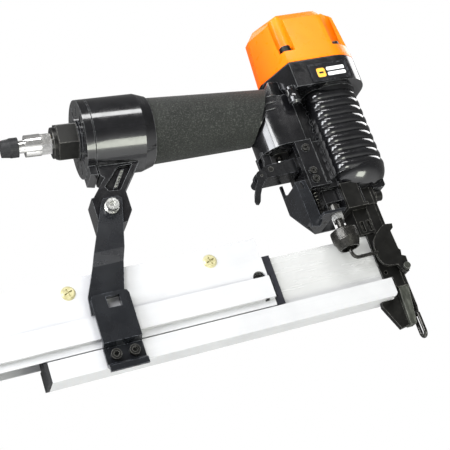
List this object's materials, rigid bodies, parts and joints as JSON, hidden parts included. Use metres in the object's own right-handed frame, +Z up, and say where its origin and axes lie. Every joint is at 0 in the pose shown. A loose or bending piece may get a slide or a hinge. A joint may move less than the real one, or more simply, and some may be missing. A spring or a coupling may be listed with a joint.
{
  "type": "flooring nailer",
  "caption": "Pneumatic flooring nailer with a ribbed barrel, a raked foam grip, a long side-sliding nail magazine and a wire-tip contact safety.",
  "frame": {"origin": "on the driver's axis, level with the flat end of the nose tip", "axes": "+Z up along the driver towards the head, +X forward away from the grip, the depth knob is on the -Y side"},
  "size_m": [0.3788, 0.0639, 0.259],
  "materials": {
    "black_enamel": "glossy black enamel",
    "orange_enamel": "satin orange enamel",
    "satin_black": "satin black",
    "badge": "glossy black",
    "foam_rubber": "fine speckled grain",
    "seal_rubber": "matt",
    "black_oxide": "black oxide",
    "worn_steel": "worn hardened steel",
    "bright_zinc": "bright zinc",
    "yellow_zinc": "yellow zinc",
    "chrome": "polished",
    "anodised": "satin anodised",
    "track": "bright",
    "charcoal": "satin charcoal",
    "machined": "machined",
    "spring_steel": "bright wire",
    "valve_plastic": "moulded"
  },
  "bodies": {
    "body": {"housing": "black_enamel", "guide_cover": "black_enamel", "guide_cover_screws": "black_oxide", "head_gasket": "seal_rubber", "head_cap": "orange_enamel", "head_screws": "black_oxide", "badge_plate": "badge", "cylinder_sleeve": "machined", "bumper": "seal_rubber", "head_valve_spring": "spring_steel", "grip_sleeve": "foam_rubber", "end_cap": "black_enamel", "end_cap_seal": "seal_rubber", "exhaust_cover": "black_enamel", "inlet_bushing": "black_oxide", "air_plug": "chrome", "valve_body": "machined", "stem_spring": "spring_steel", "trigger_pin": "bright_zinc", "nose_body": "black_oxide", "nose_front_plate": "black_oxide", "nose_tip": "worn_steel", "nose_screws": "black_oxide", "magazine_rail": "anodised", "nail_track": "track", "rail_end_plug": "seal_rubber", "strap": "satin_black", "clip": "satin_black", "clip_screws": "black_oxide", "arm_bolt": "bright_zinc", "arm_nut": "bright_zinc"},
    "piston_set": {"piston": "machined", "piston_ring": "seal_rubber", "driver_blade": "worn_steel"},
    "head_valve": {"head_valve": "valve_plastic"},
    "dust_cap": {"dust_cap": "seal_rubber"},
    "valve_stem": {"valve_stem": "bright_zinc"},
    "trigger": {"trigger": "satin_black", "lock_pin": "bright_zinc"},
    "trip_lever": {"trip_lever": "black_oxide"},
    "lock_lever": {"lock_lever": "satin_black"},
    "contact_safety": {"safety_arm": "satin_black", "safety_guide_pin": "bright_zinc", "safety_spring": "spring_steel", "adjuster_rod": "black_oxide", "jam_nut": "bright_zinc", "link_wire": "black_oxide", "contact_plate": "black_oxide", "contact_pin": "worn_steel", "contact_tip": "black_oxide"},
    "depth_knob": {"depth_knob": "black_oxide"},
    "magazine_cover": {"magazine_cover": "anodised", "cover_screws": "yellow_zinc", "cover_end_plug": "valve_plastic", "latch_pin": "bright_zinc"},
    "pusher": {"pusher": "charcoal", "pusher_roller": "black_oxide", "pusher_spring": "spring_steel"},
    "magazine_latch": {"magazine_latch": "black_oxide"}
  },
  "joints": [
    {"name": "driver_slide", "type": "slide", "parent": "body", "child": "piston_set", "axis": [0, 0, -1], "range_m": [0, 0.0715]},
    {"name": "head_valve_slide", "type": "slide", "parent": "body", "child": "head_valve", "axis": [0, 0, 1], "range_m": [0, 0.003], "stiffness_N_per_m": 400, "springref_m": -0.01, "deforming": ["head_valve_spring"]},
    {"name": "dust_cap_slide", "type": "slide", "parent": "body", "child": "dust_cap", "axis": [-0.9982, 0, 0.0592], "range_m": [0, 0.02]},
    {"name": "trigger_hinge", "type": "hinge", "parent": "body", "child": "trigger", "pos_m": [-0.0646, 0, 0.1327], "axis": [0, -1, 0], "range_deg": [0, 7], "stiffness_Nm_per_rad": 0.2, "springref_deg": -17.19},
    {"name": "stem_slide", "type": "slide", "parent": "body", "child": "valve_stem", "axis": [0, 0, 1], "range_m": [0, 0.0022], "deforming": ["stem_spring"]},
    {"name": "trip_hinge", "type": "hinge", "parent": "trigger", "child": "trip_lever", "pos_m": [-0.0646, 0, 0.1327], "axis": [0, -1, 0], "range_deg": [0, 10]},
    {"name": "lock_hinge", "type": "hinge", "parent": "trigger", "child": "lock_lever", "pos_m": [-0.074, 0, 0.1282], "axis": [0, -1, 0], "range_deg": [0, 60]},
    {"name": "safety_slide", "type": "slide", "parent": "body", "child": "contact_safety", "axis": [0, 0, 1], "range_m": [0, 0.011], "stiffness_N_per_m": 400, "springref_m": -0.01, "deforming": ["safety_spring"]},
    {"name": "knob_spin", "type": "hinge", "parent": "contact_safety", "child": "depth_knob", "pos_m": [-0.0348, -0.0205, 0.066], "axis": [0, 0, 1], "continuous": true},
    {"name": "cover_slide", "type": "slide", "parent": "body", "child": "magazine_cover", "axis": [1, 0, 0], "range_m": [-0.055, 0.071]},
    {"name": "pusher_slide", "type": "slide", "parent": "magazine_cover", "child": "pusher", "axis": [-1, 0, 0], "range_m": [0, 0.145], "stiffness_N_per_m": 15, "springref_m": -0.2},
    {"name": "latch_hinge", "type": "hinge", "parent": "magazine_cover", "child": "magazine_latch", "pos_m": [-0.334, 0, 0.046], "axis": [0, 1, 0], "range_deg": [0, 25]}
  ],
  "couplings": [
    {"joint": "stem_slide", "follows": "trigger_hinge", "m_per_rad": 0.017189},
    {"joint": "trip_hinge", "follows": "safety_slide", "rad_per_m": 15.708}
  ]
}
